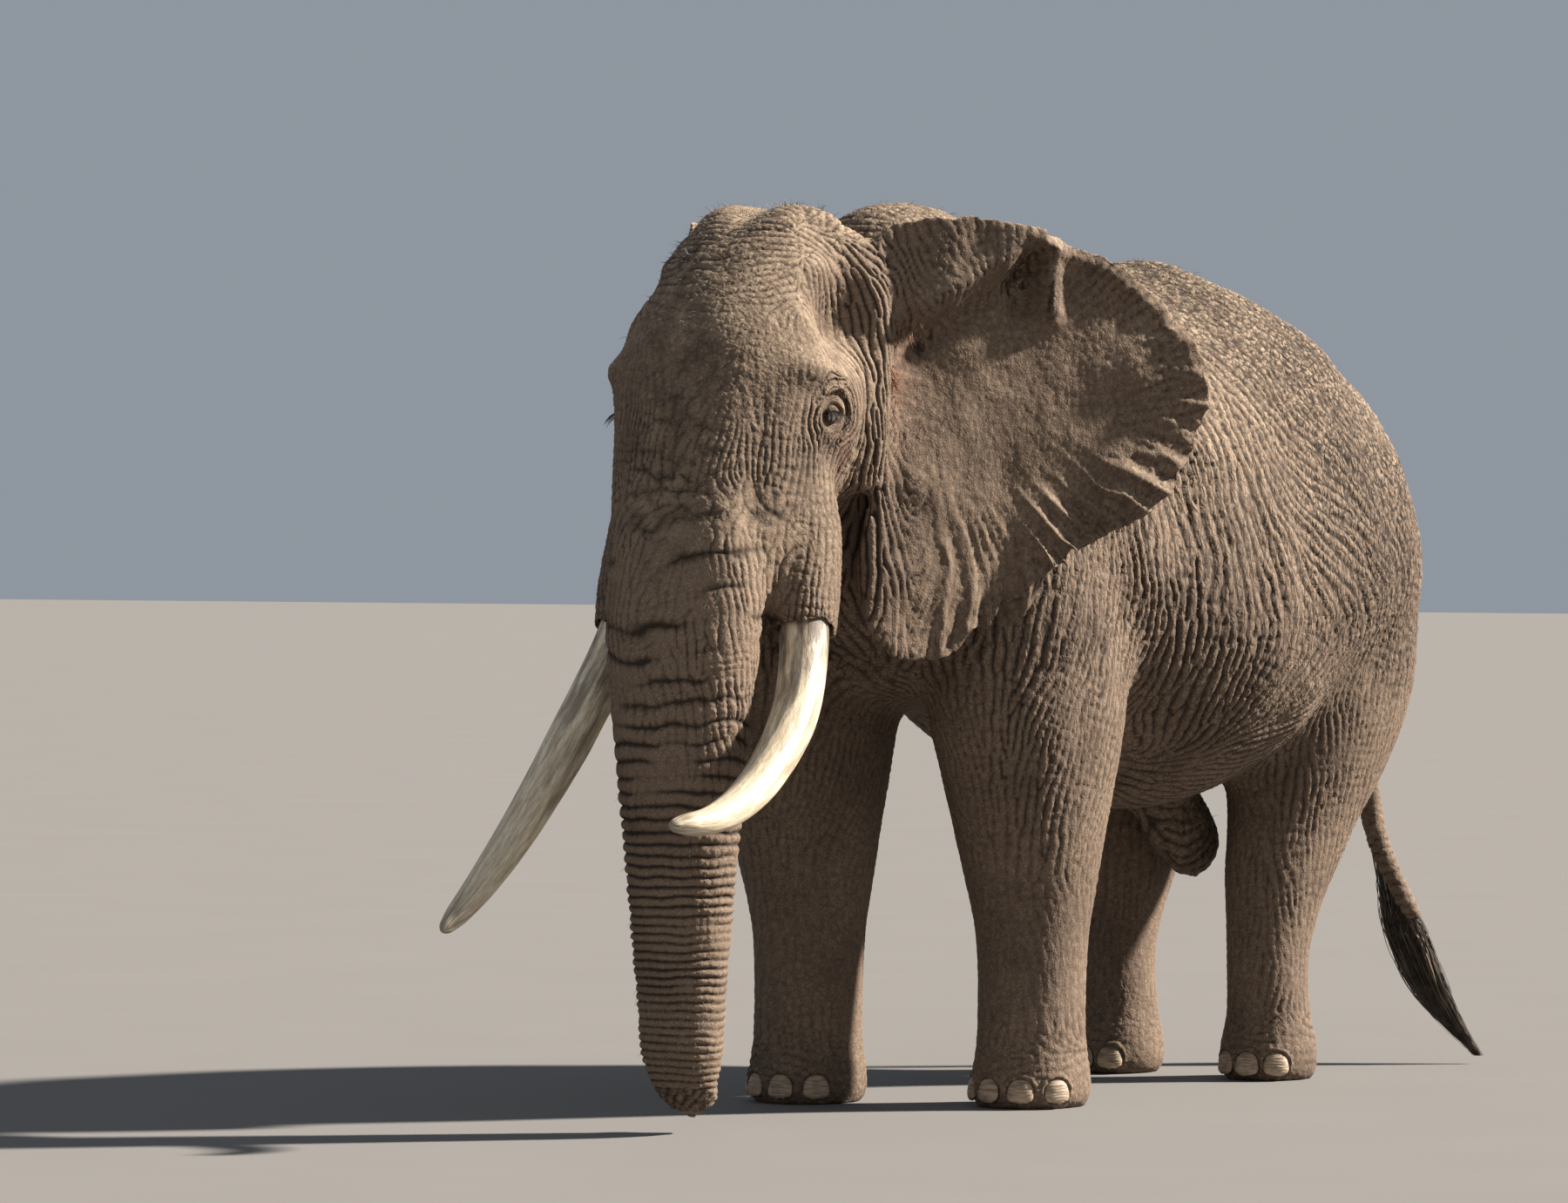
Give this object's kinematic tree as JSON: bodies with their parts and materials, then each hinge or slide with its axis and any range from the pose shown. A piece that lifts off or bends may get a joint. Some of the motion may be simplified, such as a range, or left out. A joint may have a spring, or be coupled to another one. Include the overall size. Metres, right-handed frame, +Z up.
{
  "type": "african elephant bull",
  "caption": "Life-size standing African bush elephant bull with long unequal tusks, spread ears, hanging trunk and tufted tail.",
  "frame": {"origin": "on the floor, under the middle of the whole animal's bounding box", "axes": "+Z up, the head faces -Y, the animal's left side is +X"},
  "size_m": [2.0548, 5.4172, 3.3484],
  "materials": {
    "skin": "dry, wrinkled, dusty skin",
    "ivory": "worn, stained ivory",
    "hair": "coarse wiry hair",
    "eye": "wet and glossy",
    "nail": "dry horn"
  },
  "bodies": {
    "root": {"head": "skin", "neck": "skin", "chest": "skin", "belly": "skin", "rump": "skin", "trunk_1": "skin", "trunk_2": "skin", "trunk_3": "skin", "trunk_4": "skin", "leg_front_left": "skin", "leg_front_right": "skin", "leg_hind_left": "skin", "leg_hind_right": "skin", "foot_front_left": "skin", "foot_front_right": "skin", "foot_hind_left": "skin", "foot_hind_right": "skin", "jaw": "skin", "tail": "skin", "ear_left": "skin", "ear_right": "skin", "tail_tuft": "hair", "tusk_left": "ivory", "tusk_right": "ivory", "eye_left": "eye", "eye_right": "eye", "nail_front_left_1": "nail", "nail_front_left_2": "nail", "nail_front_left_3": "nail", "nail_front_left_4": "nail", "nail_front_right_1": "nail", "nail_front_right_2": "nail", "nail_front_right_3": "nail", "nail_front_right_4": "nail", "nail_hind_left_1": "nail", "nail_hind_left_2": "nail", "nail_hind_left_3": "nail", "nail_hind_right_1": "nail", "nail_hind_right_2": "nail", "nail_hind_right_3": "nail"}
  },
  "joints": []
}
